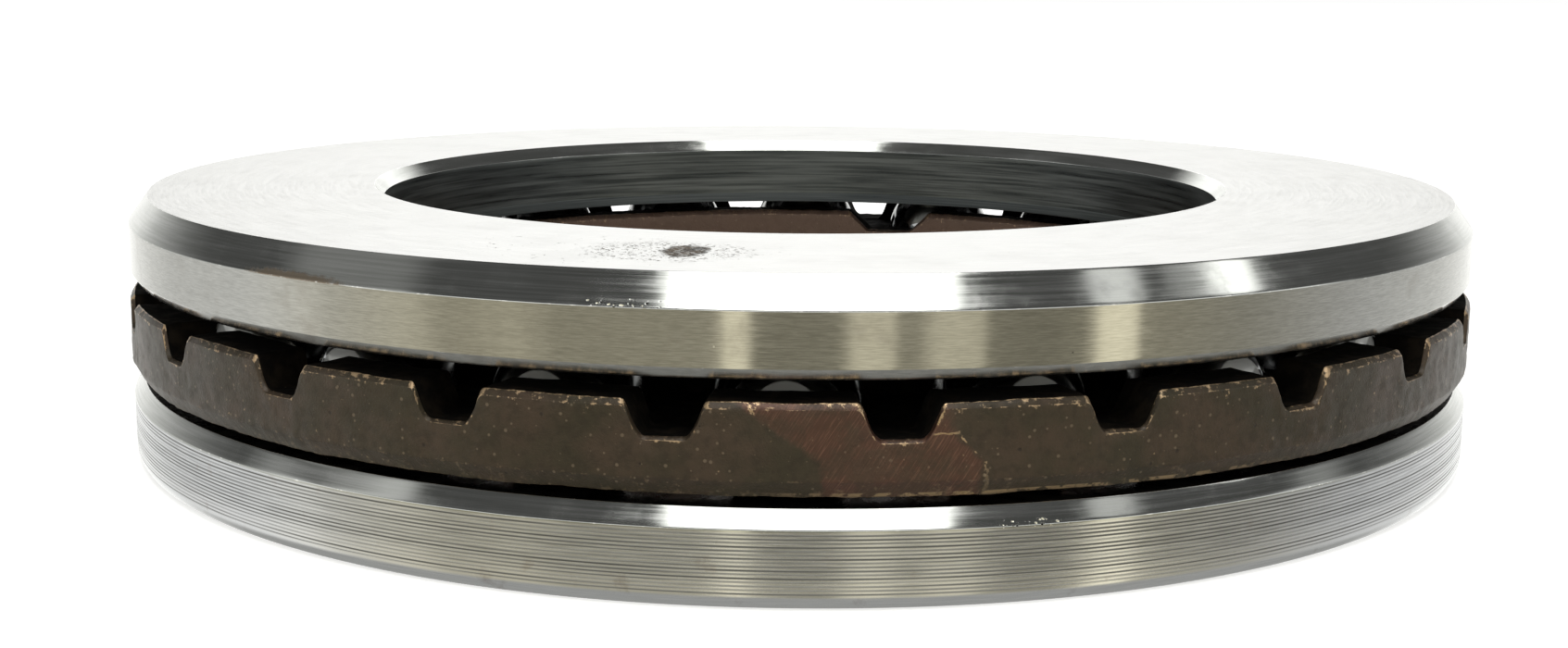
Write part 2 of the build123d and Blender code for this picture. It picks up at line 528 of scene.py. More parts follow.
def times(tree, a, b):
    return calc(tree, "MULTIPLY", a, b)


def over(tree, a, b):
    return calc(tree, "DIVIDE", a, b)


def most(tree, a, b):
    return calc(tree, "MAXIMUM", a, b)


def apart(tree, a, b):
    """How far two numbers are apart."""
    return calc(tree, "ABSOLUTE", minus(tree, a, b))


def fade(tree, value, low, high, out_low=0.0, out_high=1.0, shape="SMOOTHSTEP"):
    """Goes from out_low to out_high as value goes from low to high."""
    made = node(tree, "ShaderNodeMapRange", interpolation_type=shape)
    for key, number in zip(("Value", "From Min", "From Max", "To Min", "To Max"),
                           (value, low, high, out_low, out_high)):
        feed(tree, made.inputs[key], number)
    return made.outputs[0]


def mix(tree, share, a, b, mode="MIX"):
    """A Mix node for colours."""
    made = node(tree, "ShaderNodeMix", data_type="RGBA", blend_type=mode)
    feed(tree, made.inputs["Factor"], share)
    for key, value in (("A", a), ("B", b)):
        flat = isinstance(value, tuple)
        feed(tree, made.inputs[key], (*value, 1) if flat else value)
    return made.outputs["Result"]


def vector(tree, x, y, z):
    """Three numbers or sockets as one vector."""
    made = node(tree, "ShaderNodeCombineXYZ")
    for socket, value in zip(made.inputs, (x, y, z)):
        feed(tree, socket, value)
    return made.outputs[0]


def scaled(tree, where, factor):
    """A vector times a number or socket."""
    made = node(tree, "ShaderNodeVectorMath", operation="SCALE")
    feed(tree, made.inputs[0], where)
    feed(tree, made.inputs["Scale"], factor)
    return made.outputs[0]


def parts_of(tree, where):
    """The three numbers of a vector."""
    made = node(tree, "ShaderNodeSeparateXYZ")
    feed(tree, made.inputs[0], where)
    return made.outputs


def cloud(tree, where, detail=3.0, rough=0.5):
    """Noise from 0 to 1 at a vector that already has the right scale."""
    made = node(tree, "ShaderNodeTexNoise")
    feed(tree, made.inputs["Vector"], where)
    made.inputs["Scale"].default_value = 1.0
    made.inputs["Detail"].default_value = detail
    made.inputs["Roughness"].default_value = rough
    return made.outputs["Fac"]


# %% A new node group, and a way to place one
def new_group(name, inputs, outputs):
    """An empty shader node group. Gives its tree, its input sockets and its output sockets."""
    tree = bpy.data.node_groups.new(name, "ShaderNodeTree")
    for title, value in inputs.items():
        socket = tree.interface.new_socket(title, in_out="INPUT", socket_type="NodeSocketFloat")
        socket.default_value = value
    for title in outputs:
        kind = "NodeSocketVector" if title == "Place" else "NodeSocketFloat"
        tree.interface.new_socket(title, in_out="OUTPUT", socket_type=kind)
    print("group", name, "takes", list(inputs), "and gives", outputs)
    return tree, tree.nodes.new("NodeGroupInput").outputs, tree.nodes.new("NodeGroupOutput").inputs


def use(tree, group, **values):
    """Places a group, sets its inputs by name (half_width is Half Width), gives its outputs."""
    made = node(tree, "ShaderNodeGroup", node_tree=group)
    for key, value in values.items():
        feed(tree, made.inputs[key.replace("_", " ").title()], value)
    return made.outputs


def first(tree, group, **values):
    """Places a group and gives its first output, which is its mask or its grain."""
    return use(tree, group, **values)[0]


def patch(tree, at, level, **oval):
    """One ragged oval. Its level is a Radius or a Height."""
    return first(tree, placed_patch, angle=at["Angle"], level=at[level], **oval)


# %% [markdown]
# ## Patterns that every finish shares
# A lathe leaves its marks round the axis, so the patterns are laid out by angle, radius and
# height. Object coordinates turn with the piece, so the marks stay on the metal as it turns.

# %% Ring place: angle in degrees from the front, radius and height in millimetres
ring_place, _, out = new_group("ring_place", {}, ("Angle", "Radius", "Height", "Place"))
tree = ring_place
place = scaled(tree, node(tree, "ShaderNodeTexCoord").outputs["Object"], 1 / MM)
px, py, pz = parts_of(tree, place)
round_angle = calc(tree, "ARCTAN2", px, times(tree, py, -1.0))
squares = plus(tree, calc(tree, "POWER", px, 2.0), calc(tree, "POWER", py, 2.0))
feed(tree, out["Angle"], calc(tree, "DEGREES", round_angle))
feed(tree, out["Radius"], calc(tree, "SQRT", squares))
feed(tree, out["Height"], pz)
feed(tree, out["Place"], place)

# %% [markdown]
# Grain is noise that is stretched round the ring: long along the arc, and very thin across
# it. Dividing X and Y by a length keeps it free of a seam, which an angle would have.

# %% Round grain: fine marks that follow the ring
round_grain, given, out = new_group("round_grain", {"Length": 8.0, "Width": 0.15}, ("Grain",))
tree = round_grain
at = use(tree, ring_place)
px, py, pz = parts_of(tree, at["Place"])
slope = calc(tree, "MULTIPLY_ADD", at["Height"], 0.8, times(tree, at["Radius"], -0.6))
long_x, long_y = over(tree, px, given["Length"]), over(tree, py, given["Length"])
stretched = vector(tree, long_x, long_y, over(tree, slope, given["Width"]))
feed(tree, out["Grain"], cloud(tree, stretched, detail=3.0, rough=0.6))

# %% Blotches: soft uneven patches, as from hands, oil and air
blotches, given, out = new_group("blotches", {"Size": 8.0, "Low": 0.45, "High": 0.65}, ("Mask",))
tree = blotches
shrunk = scaled(tree, use(tree, ring_place)["Place"], over(tree, 1.0, given["Size"]))
patchy = cloud(tree, shrunk, detail=5.0, rough=0.6)
feed(tree, out["Mask"], fade(tree, patchy, given["Low"], given["High"]))

# %% [markdown]
# Specks are the dots of dirt, pits and bright nicks. A Voronoi pattern gives one point to
# each cell. A random number of that cell decides whether it holds a speck, and how big.

# %% Specks: scattered dots
specks, given, out = new_group(
    "specks", {"Spacing": 2.0, "Share": 0.1, "Size": 0.3, "Stretch": 1.0}, ("Mask", "Tone"))
tree = specks
px, py, pz = parts_of(tree, use(tree, ring_place)["Place"])
wide = times(tree, given["Spacing"], given["Stretch"])
cells = node(tree, "ShaderNodeTexVoronoi", feature="F1")
cells.inputs["Scale"].default_value = 1.0
spaced_y, spaced_z = over(tree, py, given["Spacing"]), over(tree, pz, given["Spacing"])
feed(tree, cells.inputs["Vector"], vector(tree, over(tree, px, wide), spaced_y, spaced_z))
luck = node(tree, "ShaderNodeSeparateColor")
feed(tree, luck.inputs[0], cells.outputs["Color"])
chosen = calc(tree, "LESS_THAN", luck.outputs[0], given["Share"])
reach = times(tree, given["Size"], calc(tree, "MULTIPLY_ADD", luck.outputs[1], 0.8, 0.2))
inside = fade(tree, over(tree, cells.outputs["Distance"], reach), 1.0, 0.55)
feed(tree, out["Mask"], times(tree, chosen, inside))
feed(tree, out["Tone"], luck.outputs[2])

# %% [markdown]
# A placed patch is one ragged oval, for a mark that happened once in one place. Edge wear
# reads the number that each vertex got above, and noise breaks it up.

# %% Placed patch: one ragged oval at an angle and a level
placed_patch, given, out = new_group(
    "placed_patch", {"Angle": 0.0, "Level": 0.0, "Middle": 0.0, "Half Width": 5.0,
                     "Level Middle": 0.0, "Half Height": 1.0}, ("Mask",))
tree = placed_patch
sideways = over(tree, minus(tree, given["Angle"], given["Middle"]), given["Half Width"])
upwards = over(tree, minus(tree, given["Level"], given["Level Middle"]), given["Half Height"])
away = calc(tree, "SQRT", plus(tree, calc(tree, "POWER", calc(tree, "ABSOLUTE", sideways), 2.0),
                               calc(tree, "POWER", calc(tree, "ABSOLUTE", upwards), 2.0)))
ragged = cloud(tree, use(tree, ring_place)["Place"], detail=3.0)
away = plus(tree, away, calc(tree, "MULTIPLY_ADD", ragged, 0.7, -0.35))
feed(tree, out["Mask"], fade(tree, away, 1.0, 0.6))

# %% Edge wear: bright where the attribute edge is high, broken up by noise
edge_wear, given, out = new_group("edge_wear", {"Start": 0.4, "Grit": 0.8}, ("Mask",))
tree = edge_wear
corner = node(tree, "ShaderNodeAttribute", attribute_name="edge").outputs["Fac"]
shrunk = scaled(tree, use(tree, ring_place)["Place"], over(tree, 1.0, given["Grit"]))
broken = cloud(tree, shrunk, detail=4.0, rough=0.7)
worn = plus(tree, corner, calc(tree, "MULTIPLY_ADD", broken, 2.0, -1.0))
feed(tree, out["Mask"], fade(tree, worn, given["Start"], plus(tree, given["Start"], 0.25)))


# %% Start a metal, and finish it
def start_metal(name):
    """A metal with a Principled shader. Gives the material, its tree, shader and place."""
    material = bpy.data.materials.new(name)
    material.use_nodes = True
    tree = material.node_tree
    shader = tree.nodes["Principled BSDF"]
    shader.inputs["Metallic"].default_value = 1.0
    return material, tree, shader, use(tree, ring_place)


def finish_metal(tree, shader, colour, rough, relief, depth, strength):
    """Feeds the colour, the roughness and a relief of some millimetres to the shader."""
    feed(tree, shader.inputs["Base Color"], colour)
    feed(tree, shader.inputs["Roughness"], rough)
    bump = node(tree, "ShaderNodeBump")
    bump.inputs["Strength"].default_value = strength
    bump.inputs["Distance"].default_value = depth * MM
    feed(tree, bump.inputs["Height"], relief)
    feed(tree, shader.inputs["Normal"], bump.outputs[0])
    print("nodes in this finish:", len(tree.nodes))


# %% [markdown]
# ## The ground faces
# The flat faces carry the load, so they are ground: almost white, with a faint grain. Years
# on a shelf leave dark flecks, and one small heap of brown dust near the front.

# %% Ground face
ground_face, tree, shader, at = start_metal("ground_face")
grain = first(tree, round_grain, length=7.0, width=0.22)
colour = mix(tree, fade(tree, grain, 0.3, 0.7), (0.76, 0.76, 0.75), (0.90, 0.90, 0.89))
tarnish = first(tree, blotches, size=9.0, low=0.45, high=0.75)
colour = mix(tree, times(tree, tarnish, 0.22), colour, (0.52, 0.52, 0.50))
old_corner = patch(tree, at, "Radius", middle=-15.0, half_width=16.0, level_middle=83.0, half_height=13.0)
flecks = first(tree, blotches, size=0.9, low=0.66, high=0.69)
few = first(tree, blotches, size=0.7, low=0.735, high=0.75)
halo_here = patch(tree, at, "Radius", middle=-11.0, half_width=8.0, level_middle=82.5, half_height=9.0)
heap_here = patch(tree, at, "Radius", middle=-9.5, half_width=2.2, level_middle=81.8, half_height=5.5)
dust = first(tree, blotches, size=0.6, low=0.44, high=0.50)
tone = first(tree, blotches, size=1.4, low=0.40, high=0.60)
halo = first(tree, blotches, size=0.45, low=0.57, high=0.61)
dirt = most(tree, times(tree, flecks, old_corner), few)
dirt = most(tree, dirt, times(tree, halo, halo_here))
heap = times(tree, fade(tree, heap_here, 0.0, 0.9), fade(tree, dust, 0.0, 1.0, 0.45, 1.0))
dirt = most(tree, dirt, heap)
dirt_colour = mix(tree, tone, (0.03, 0.022, 0.015), (0.13, 0.085, 0.045))
colour = mix(tree, times(tree, dirt, 0.92), colour, dirt_colour)
feed(tree, shader.inputs["Metallic"], fade(tree, dirt, 0.0, 0.6, 1.0, 0.0))
rough = plus(tree, fade(tree, grain, 0.3, 0.7, 0.30, 0.38), times(tree, dirt, 0.7))
relief = calc(tree, "MULTIPLY_ADD", dirt, 30.0, grain)
finish_metal(tree, shader, colour, rough, relief, depth=0.004, strength=0.8)

# %% [markdown]
# ## The ground rim
# The rim of the upper washer is ground too, but the wheel ran round it. Its marks are short
# fine lines along the arc. They spread every reflection up and down, so each light in the
# room becomes an upright band, and so does the shader's anisotropy.

# %% Ground rim
ground_rim, tree, shader, at = start_metal("ground_rim")
shader.inputs["Anisotropic"].default_value = 0.85
shader.inputs["Anisotropic Rotation"].default_value = 0.25
fine = first(tree, round_grain, length=1.8, width=0.10)
broad = first(tree, round_grain, length=9.0, width=0.4)
grain = calc(tree, "MULTIPLY_ADD", fine, 0.75, times(tree, broad, 0.25))
colour = mix(tree, fade(tree, grain, 0.3, 0.7), (0.48, 0.48, 0.455), (0.66, 0.66, 0.63))
smudge = first(tree, blotches, size=7.0, low=0.52, high=0.78)
colour = mix(tree, times(tree, smudge, 0.4), colour, (0.36, 0.33, 0.29))
nicks = first(tree, specks, spacing=3.2, share=0.07, size=0.05)
pits = first(tree, specks, spacing=2.3, share=0.06, size=0.07)
colour = mix(tree, nicks, colour, (0.95, 0.95, 0.93))
colour = mix(tree, pits, colour, (0.08, 0.075, 0.07))
rubbed = first(tree, edge_wear, start=0.50, grit=2.5)
colour = mix(tree, times(tree, rubbed, 0.8), colour, (0.88, 0.88, 0.86))
rough = plus(tree, fade(tree, grain, 0.3, 0.7, 0.09, 0.15), times(tree, smudge, 0.1))
finish_metal(tree, shader, colour, rough, grain, depth=0.0012, strength=0.5)

# %% [markdown]
# ## The polished chamfers
# A chamfer leads the housing or the shaft on, and nothing touches it afterwards, so it keeps
# its polish and mirrors the room. Its lower edge has met other steel: it has a bright line
# with nicks, a cluster of pits, and one brown bruise.

# %% Polished chamfer
polished_chamfer, tree, shader, at = start_metal("polished_chamfer")
lines = first(tree, round_grain, length=18.0, width=0.35)
hazy = first(tree, blotches, size=5.0, low=0.45, high=0.75)
colour = mix(tree, fade(tree, lines, 0.3, 0.7), (0.52, 0.535, 0.51), (0.67, 0.68, 0.665))
bruise = patch(tree, at, "Height", middle=-37.0, half_width=6.0, level_middle=33.75, half_height=0.95)
colour = mix(tree, times(tree, bruise, 0.85), colour, (0.30, 0.23, 0.16))
rubbed = first(tree, edge_wear, start=0.50, grit=1.6)
colour = mix(tree, times(tree, rubbed, 0.9), colour, (0.97, 0.97, 0.94))
upper_pits = patch(tree, at, "Height", middle=-11.0, half_width=3.2, level_middle=33.9, half_height=0.9)
lower_pits = patch(tree, at, "Height", middle=15.0, half_width=2.8, level_middle=9.4, half_height=0.8)
eaten_here = most(tree, upper_pits, lower_pits)
grit = use(tree, specks, spacing=0.34, share=0.75, size=0.55, stretch=1.5)
eaten = times(tree, eaten_here, grit["Mask"])
pit_tone = fade(tree, grit["Tone"], 0.60, 0.70)
pit_colour = mix(tree, pit_tone, (0.015, 0.013, 0.010), (0.95, 0.90, 0.70))
colour = mix(tree, eaten, colour, pit_colour)
nicks = first(tree, specks, spacing=2.6, share=0.10, size=0.06, stretch=1.8)
colour = mix(tree, nicks, colour, (0.95, 0.95, 0.93))
rough = calc(tree, "MULTIPLY_ADD", hazy, 0.08, fade(tree, lines, 0.3, 0.7, 0.08, 0.14))
rough = plus(tree, rough, times(tree, most(tree, bruise, eaten), 0.3))
relief = minus(tree, times(tree, lines, 0.15), eaten)
finish_metal(tree, shader, colour, rough, relief, depth=0.03, strength=0.6)

# %% [markdown]
# ## The turned rim
# The lower washer's rim was only turned. The tool left a furrow every 0.45 mm. The mesh has
# the furrows already, and the colour paints each furrow dark as well.

# %% Turned rim
turned_rim, tree, shader, at = start_metal("turned_rim")
shader.inputs["Anisotropic"].default_value = 0.4
shader.inputs["Anisotropic Rotation"].default_value = 0.25
turns = over(tree, minus(tree, at["Height"], FIRST_FURROW), TURNING_FEED)
furrow = fade(tree, apart(tree, calc(tree, "FRACT", turns), 0.5), 0.16, 0.40)
uneven = first(tree, round_grain, length=55.0, width=0.45)
furrow = times(tree, furrow, fade(tree, uneven, 0.36, 0.60, 0.35, 1.0))
above_seat = fade(tree, at["Height"], 1.7, 2.1)
below_chamfer = fade(tree, at["Height"], HOUSING_TOP - 2.3, HOUSING_TOP - 2.6)
furrow = times(tree, furrow, times(tree, above_seat, below_chamfer))
fine = first(tree, round_grain, length=5.0, width=0.12)
colour = mix(tree, fade(tree, fine, 0.3, 0.7), (0.66, 0.675, 0.695), (0.88, 0.895, 0.915))
# Painted light: the rim is painted lighter towards the seat.
painted_light_low = fade(tree, at["Height"], 5.2, 2.4)
colour = mix(tree, times(tree, painted_light_low, 0.65), colour, (0.98, 0.99, 1.0))
colour = mix(tree, times(tree, furrow, 0.86), colour, (0.10, 0.098, 0.09))
rust = first(tree, blotches, size=4.0, low=0.60, high=0.80)
colour = mix(tree, times(tree, rust, 0.4), colour, (0.30, 0.21, 0.15))
nicks = first(tree, specks, spacing=3.5, share=0.07, size=0.05)
colour = mix(tree, nicks, colour, (0.95, 0.95, 0.93))
rough = plus(tree, fade(tree, fine, 0.3, 0.7, 0.14, 0.22), times(tree, furrow, 0.25))
finish_metal(tree, shader, colour, rough, fine, depth=0.005, strength=0.5)

# %% [markdown]
# ## The dark steel inside
# Oil stays in the bore and in the ball grooves, and turns the steel dark. The bore shows the
# broad lines of the boring tool, and the grooves are smooth.

# %% Bored steel and groove steel
bored_steel, tree, shader, at = start_metal("bored_steel")
lines = first(tree, round_grain, length=30.0, width=0.3)
streaks = first(tree, round_grain, length=18.0, width=0.8)
mixed = calc(tree, "MULTIPLY_ADD", lines, 0.6, times(tree, streaks, 0.4))
colour = mix(tree, fade(tree, mixed, 0.35, 0.65), (0.12, 0.135, 0.14), (0.25, 0.27, 0.27))
rough = fade(tree, mixed, 0.3, 0.7, 0.26, 0.40)
finish_metal(tree, shader, colour, rough, mixed, depth=0.01, strength=0.5)

groove_steel, tree, shader, at = start_metal("groove_steel")
film = first(tree, blotches, size=4.0, low=0.35, high=0.7)
polish = first(tree, round_grain, length=40.0, width=0.6)
colour = mix(tree, fade(tree, polish, 0.3, 0.7), (0.09, 0.09, 0.09), (0.13, 0.13, 0.13))
colour = mix(tree, times(tree, film, 0.7), colour, (0.035, 0.028, 0.02))
rough = fade(tree, film, 0.0, 1.0, 0.22, 0.45)
finish_metal(tree, shader, colour, rough, polish, depth=0.004, strength=0.4)

# %% [markdown]
# ## The balls
# Bearing balls are lapped to a mirror. An oily film dims them, and each ball has a faint
# matt band where it rolls in the grooves. The band lies at the radius of the ball circle. On
# the outer side, towards the gap, a paler oval is painted as light, cut off square at its left
# and right. It is laid out in each ball's own middle and radius.

# %% Ball steel
BALL_PITCH = 18.0
FIRST_BALL = -1.0
# The painted light on the outer side of each ball: how far it rises, and its soft edge.
LIT_OVAL_RISE = math.radians(13)
LIT_OVAL_EDGE = [math.cos(math.radians(reach)) for reach in (24.5, 22.5)]
ball_steel, tree, shader, at = start_metal("ball_steel")
film = first(tree, blotches, size=3.0, low=0.40, high=0.70)
track = fade(tree, apart(tree, at["Radius"], BALL_CIRCLE), 1.6, 0.9)
scuffs = first(tree, specks, spacing=1.5, share=0.08, size=0.10)
near_turn = calc(tree, "MULTIPLY_ADD", at["Angle"], 1 / BALL_PITCH, 40.5 - FIRST_BALL / BALL_PITCH)
near_turn = minus(tree, calc(tree, "FRACT", near_turn), 0.5)
sideways = times(tree, near_turn, math.radians(BALL_PITCH) * BALL_CIRCLE / BALL_RADIUS)
outward = over(tree, minus(tree, at["Radius"], BALL_CIRCLE), BALL_RADIUS)
upward = over(tree, minus(tree, at["Height"], BALL_LEVEL), BALL_RADIUS)
to_patch = plus(tree, times(tree, outward, math.cos(LIT_OVAL_RISE)),
                times(tree, upward, math.sin(LIT_OVAL_RISE)))
square_cut = fade(tree, calc(tree, "ABSOLUTE", sideways), 0.9, 0.8)
lit_oval = times(tree, fade(tree, to_patch, *LIT_OVAL_EDGE), square_cut)
# Painted light: the oval is paler and less metallic than the rest of the ball.
feed(tree, shader.inputs["Metallic"], fade(tree, lit_oval, 0.0, 1.0, 1.0, 0.45))
colour = mix(tree, film, (0.40, 0.41, 0.42), (0.20, 0.20, 0.19))
colour = mix(tree, lit_oval, colour, (0.72, 0.73, 0.72))
colour = mix(tree, times(tree, track, 0.35), colour, (0.55, 0.55, 0.56))
colour = mix(tree, scuffs, colour, (0.04, 0.035, 0.03))
rough = plus(tree, fade(tree, film, 0.0, 1.0, 0.07, 0.20), times(tree, track, 0.12))
rough = plus(tree, rough, times(tree, scuffs, 0.3))
finish_metal(tree, shader, colour, rough, minus(tree, 0.0, scuffs), depth=0.01, strength=0.4)

# %% [markdown]
# ## The cast bronze
# The cage came out of a sand mould, so its skin is grainy. Age has turned it to a dark olive
# brown, with pale dust in the grain. Bare bronze shows where it is rubbed: along the teeth,
# round the notches and on the bottom edge. Someone dressed one stretch of the rim with a
# file, which left it redder, with steep scratches, and a thin bright line beside it.

# %% Bronze skin: patina, speckle and the oily inside
cast_bronze, tree, shader, at = start_metal("cast_bronze")
angle, radius, height = at["Angle"], at["Radius"], at["Height"]
patina = first(tree, blotches, size=7.0, low=0.35, high=0.68)
colour = mix(tree, patina, (0.052, 0.041, 0.022), (0.080, 0.053, 0.033))
mottle = first(tree, blotches, size=1.3, low=0.40, high=0.70)
colour = mix(tree, times(tree, mottle, 0.45), colour, (0.036, 0.026, 0.015))
pale = first(tree, specks, spacing=0.70, share=0.30, size=0.40)
colour = mix(tree, times(tree, pale, 0.60), colour, (0.25, 0.19, 0.125))
pits = first(tree, specks, spacing=1.1, share=0.12, size=0.28)
colour = mix(tree, times(tree, pits, 0.6), colour, (0.02, 0.014, 0.010))

# %% The filed stretch: an upper left part and a lower right part with a slanting edge
wander = cloud(tree, at["Place"], detail=4.0, rough=0.65)
wander = calc(tree, "MULTIPLY_ADD", wander, 2.4, -1.2)
left_edge = fade(tree, height, 16.8, 23.2, 1.3, -3.9, shape="LINEAR")
left_edge = plus(tree, left_edge, times(tree, wander, 0.5))
right_edge = fade(tree, height, 16.9, 20.2, 11.9, 9.9, shape="LINEAR")
right_edge = plus(tree, right_edge, times(tree, wander, 0.35))
from_left = minus(tree, angle, left_edge)
from_right = minus(tree, right_edge, angle)
filed = times(tree, fade(tree, from_left, -0.2, 0.5), fade(tree, from_right, -0.1, 0.7))
filed = times(tree, filed, fade(tree, radius, CAGE_RIM - 1.6, CAGE_RIM - 1.2))
thin_here = first(tree, blotches, size=5.0, low=0.40, high=0.60)
filed = times(tree, filed, fade(tree, thin_here, 0.0, 1.0, 1.0, 0.45))

# %% The file's scratches, which lean
LEAN = math.radians(58)
arc = times(tree, angle, math.radians(1.0) * CAGE_RIM)
along = plus(tree, times(tree, arc, math.cos(LEAN)), times(tree, height, math.sin(LEAN)))
athwart = minus(tree, times(tree, arc, math.sin(LEAN)), times(tree, height, math.cos(LEAN)))
scratch_place = vector(tree, times(tree, along, 0.28), times(tree, athwart, 5.5), 3.0)
file_marks = cloud(tree, scratch_place, detail=3.0, rough=0.7)
file_colour = mix(tree, fade(tree, file_marks, 0.46, 0.74), (0.105, 0.046, 0.030), (0.26, 0.125, 0.08))
colour = mix(tree, times(tree, filed, 0.8), colour, file_colour)

# %% The thin bright line beside it, a short ledge, and dashes along the bottom edge
crumbs = first(tree, blotches, size=0.9, low=0.4, high=0.6)
mend = fade(tree, calc(tree, "ABSOLUTE", from_right), 0.11, 0.03)
mend = times(tree, mend, fade(tree, crumbs, 0.2, 0.8))
mend = times(tree, mend, fade(tree, height, 15.5, 17.5, 0.25, 1.0))
mend = times(tree, mend, fade(tree, height, 20.5, 20.2))
ledge = apart(tree, minus(tree, height, 20.1), times(tree, wander, 0.25))
ledge = times(tree, fade(tree, ledge, 0.14, 0.05), fade(tree, angle, 8.3, 8.6))
ledge = times(tree, ledge, fade(tree, angle, 10.1, 9.8))
mend = most(tree, mend, times(tree, ledge, 0.8))
dashes = fade(tree, apart(tree, height, CAGE_BASE + 0.35), 0.30, 0.15)
dashes = times(tree, dashes, fade(tree, angle, -5.0, 7.0))
dashes = times(tree, dashes, fade(tree, angle, 36.0, 28.0))
broken = first(tree, blotches, size=1.7, low=0.44, high=0.52)
dashes = times(tree, dashes, broken)

# %% Bare bronze on the corners, painted glints, and the paler bore
bare_and_glint = first(tree, edge_wear, start=0.50, grit=0.75)
bare_and_glint = times(tree, bare_and_glint, fade(tree, height, CAGE_BASE + 2.4, CAGE_BASE + 3.0, 0.15, 1.0))
# Painted glints: scattered bright specks on the cast skin, in the colour of bare bronze.
glint = first(tree, specks, spacing=1.7, share=0.08, size=0.07)
bare_and_glint = most(tree, most(tree, bare_and_glint, glint), most(tree, mend, dashes))
colour = mix(tree, times(tree, bare_and_glint, 0.85), colour, (0.66, 0.47, 0.28))
inside = fade(tree, radius, CAGE_BORE + 1.2, CAGE_BORE + 0.7)
colour = mix(tree, times(tree, inside, 0.6), colour, (0.24, 0.15, 0.115))

# %% The skin of the bronze
feed(tree, shader.inputs["Metallic"], fade(tree, bare_and_glint, 0.0, 1.0, 0.75, 1.0))
shader.inputs["Coat Roughness"].default_value = 0.35
shader.inputs["Coat Weight"].default_value = 0.5
rough = minus(tree, fade(tree, mottle, 0.0, 1.0, 0.46, 0.58), times(tree, bare_and_glint, 0.16))
rough = minus(tree, rough, times(tree, filed, 0.08))
skin = cloud(tree, scaled(tree, at["Place"], 3.2), detail=3.0, rough=0.65)
skin = times(tree, skin, fade(tree, filed, 0.0, 1.0, 1.0, 0.25))
skin = plus(tree, skin, times(tree, file_marks, times(tree, filed, 0.3)))
skin = minus(tree, skin, times(tree, pits, 0.6))
finish_metal(tree, shader, colour, rough, skin, depth=0.16, strength=0.9)

# %% [markdown]
# ## The shaded trough
# The trough, the pockets and the tops of the rims are painted as shade. The shade is nearly
# black, and so dull that it hardly shines even when it is seen flat.

# %% Bronze painted as shade
painted_shade_bronze, tree, shader, at = start_metal("painted_shade_bronze")
shade_tone = first(tree, blotches, size=2.5, low=0.40, high=0.70)
grit = first(tree, specks, spacing=1.2, share=0.10, size=0.12)
# Painted shade: nearly black, with a little change in tone and a few paler specks.
colour = mix(tree, shade_tone, (0.004, 0.0035, 0.003), (0.012, 0.009, 0.006))
colour = mix(tree, times(tree, grit, 0.5), colour, (0.06, 0.05, 0.035))
shader.inputs["Metallic"].default_value = 0.0
shader.inputs["Specular IOR Level"].default_value = 0.06
rough = fade(tree, shade_tone, 0.0, 1.0, 1.0, 0.8)
finish_metal(tree, shader, colour, rough, shade_tone, depth=0.05, strength=0.6)

# %% [markdown]
# ## Give each face its finish
# One washer carries several finishes, because each face was machined in its own way. Radius
# and height sort the faces, which is simple on a ring.

# %% Sort the faces of the washers
def finish_faces(piece, finishes, choose):
    """Gives each face the finish that choose(radius, height, normal) names by number."""
    for finish in finishes:
        piece.data.materials.append(finish)
    for face in piece.data.polygons:
        x, y, z = face.center
        face.material_index = choose(math.hypot(x, y) / MM, z / MM, face.normal)


def shaft_finish(r, z, normal):
    """0 ground face, 1 ground rim, 2 polished chamfer, 3 bored steel, 4 groove steel."""
    if r > SHAFT_RIM - 0.05 and abs(normal.z) < 0.2:
        return 1
    if z > SHAFT_TOP - TOP_CHAMFER_DROP - 0.1 and normal.z < 0.97 and abs(normal.z) > 0.2:
        return 2
    if r < SHAFT_BORE + BORE_CHAMFER_WIDTH + 0.05 and normal.z < 0.97:
        return 3
    if normal.z > 0.9:
        return 0
    if r > SHAFT_RIM - 1.0:
        return 1
    return 0 if normal.z < -0.99 else 4


def housing_finish(r, z, normal):
    """0 ground face, 1 turned rim, 2 polished chamfer, 3 bored steel, 4 groove steel."""
    if r > HOUSING_RIM - SEAT_ROUND - 0.1 and z < HOUSING_TOP - 2.38:
        return 1
    if r > HOUSING_RIM - 1.55 and z > HOUSING_TOP - 2.38:
        return 2
    if r < HOUSING_BORE + 1.6 and abs(normal.z) < 0.97:
        return 3
    return 4 if normal.z > 0 else 0


def cage_finish(r, z, normal):
    """0 cast bronze outside and in the bore, 1 bronze painted as shade in between."""
    hidden = CAGE_BORE + 1.0 < r < CAGE_RIM - 0.7 and z > CAGE_BASE + 2.8
    return 1 if hidden else 0


inner_finishes = (polished_chamfer, bored_steel, groove_steel)
finish_faces(shaft_washer, (ground_face, ground_rim, *inner_finishes), shaft_finish)
finish_faces(housing_washer, (ground_face, turned_rim, *inner_finishes), housing_finish)
cage.data.materials.clear()
finish_faces(cage, (cast_bronze, painted_shade_bronze), cage_finish)
for name in balls:
    ball_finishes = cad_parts[name].data.materials
    ball_finishes.clear()
    ball_finishes.append(ball_steel)
print("finishes:", [finish.name for finish in bpy.data.materials])

# %% [markdown]
# ## Light
# Polished steel shows its surroundings more than itself, so the surroundings are painted
# with care: a white wall behind, a dim room in front with a few pale upright strips, a dark
# ceiling, a bright sill between the two, and one soft panel overhead. The camera itself sees
# only white.

# %% Paint the surroundings
world = bpy.data.worlds.new("surround")
scene.world = world
world.use_nodes = True
sky = world.node_tree
direction = node(sky, "ShaderNodeTexCoord").outputs["Generated"]
east, north, up = parts_of(sky, direction)

